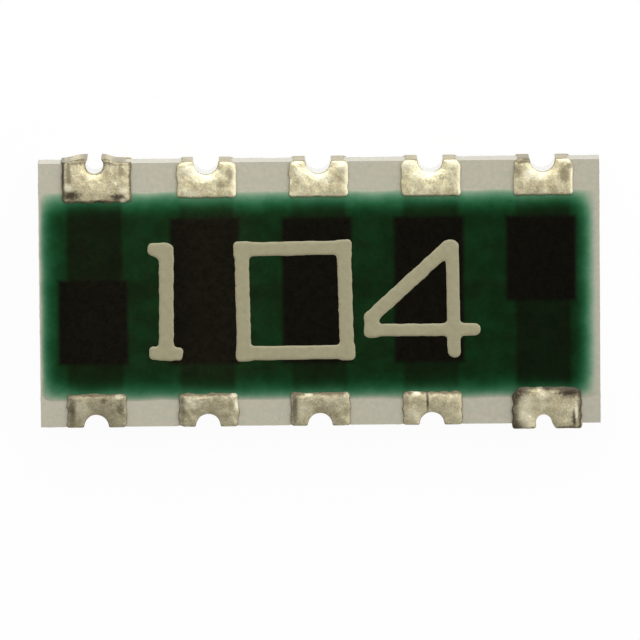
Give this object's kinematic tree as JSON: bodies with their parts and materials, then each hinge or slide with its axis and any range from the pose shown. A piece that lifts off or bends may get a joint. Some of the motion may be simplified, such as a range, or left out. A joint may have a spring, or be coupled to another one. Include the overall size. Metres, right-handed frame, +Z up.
{
  "type": "resistor network",
  "caption": "Flat rectangular ceramic chip resistor network with half-round castellated solder terminals along both long sides, for surface mounting on a circuit board.",
  "frame": {"origin": "middle of the footprint, at the level of the flat solder faces it rests on", "axes": "+X along the chip, +Y towards the upper row of terminals in the picture, +Z up out of the marked face"},
  "size_m": [0.0064, 0.0032, 0.0005],
  "materials": {
    "alumina": "matt fired alumina, warm grey white",
    "green_glass": "dark green translucent fired glass, soft edges",
    "fired_silver": "fired silver print, under the glass and the plating",
    "resistor_ink": "near-black fired resistor print, under the glass",
    "clear_glass": "thin clear glass over each resistor film",
    "nickel": "plated nickel, under the solder",
    "solder": "lumpy yellowish solder, satin"
  },
  "bodies": {
    "root": {"ceramic_plate": "alumina", "green_overcoat": "green_glass", "common_conductor": "fired_silver", "electrode_2": "fired_silver", "electrode_3": "fired_silver", "electrode_4": "fired_silver", "electrode_5": "fired_silver", "electrode_6": "fired_silver", "electrode_7": "fired_silver", "electrode_8": "fired_silver", "electrode_9": "fired_silver", "resistor_film_1": "resistor_ink", "resistor_film_2": "resistor_ink", "resistor_film_3": "resistor_ink", "resistor_film_4": "resistor_ink", "resistor_film_5": "resistor_ink", "glass_undercoat_1": "clear_glass", "glass_undercoat_2": "clear_glass", "glass_undercoat_3": "clear_glass", "glass_undercoat_4": "clear_glass", "glass_undercoat_5": "clear_glass", "nickel_barrier_1": "nickel", "nickel_barrier_2": "nickel", "nickel_barrier_3": "nickel", "nickel_barrier_4": "nickel", "nickel_barrier_5": "nickel", "nickel_barrier_6": "nickel", "nickel_barrier_7": "nickel", "nickel_barrier_8": "nickel", "nickel_barrier_9": "nickel", "nickel_barrier_10": "nickel", "solder_terminal_1": "solder", "solder_terminal_2": "solder", "solder_terminal_3": "solder", "solder_terminal_4": "solder", "solder_terminal_5": "solder", "solder_terminal_6": "solder", "solder_terminal_7": "solder", "solder_terminal_8": "solder", "solder_terminal_9": "solder", "solder_terminal_10": "solder"}
  },
  "joints": []
}
